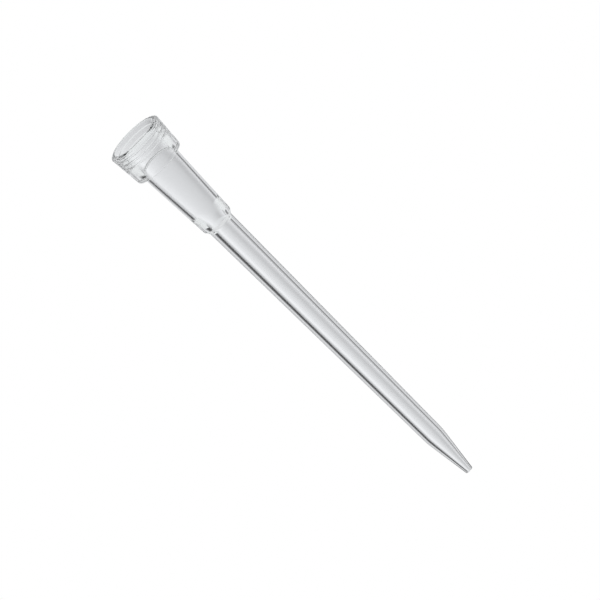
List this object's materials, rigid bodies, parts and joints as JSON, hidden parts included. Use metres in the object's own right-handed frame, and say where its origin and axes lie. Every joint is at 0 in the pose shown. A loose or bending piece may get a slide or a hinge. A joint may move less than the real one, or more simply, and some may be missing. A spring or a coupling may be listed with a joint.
{
  "type": "pipette tip",
  "caption": "Long clear pipette tip: collar with a funnel mouth and sealing rings, tapered hub, stepped shoulder, slender hollow shaft and a finely tapered outlet.",
  "frame": {"origin": "centre of the flat rim round the mouth, which the tip stands on", "axes": "+Z runs along the tip's axis from the mouth to the outlet; the tip is round, so X and Y have no marked direction"},
  "size_m": [0.006, 0.006, 0.0462],
  "materials": {
    "clear_plastic": "clear, polished mould finish"
  },
  "bodies": {
    "root": {"pipette_tip": "clear_plastic"}
  },
  "joints": []
}
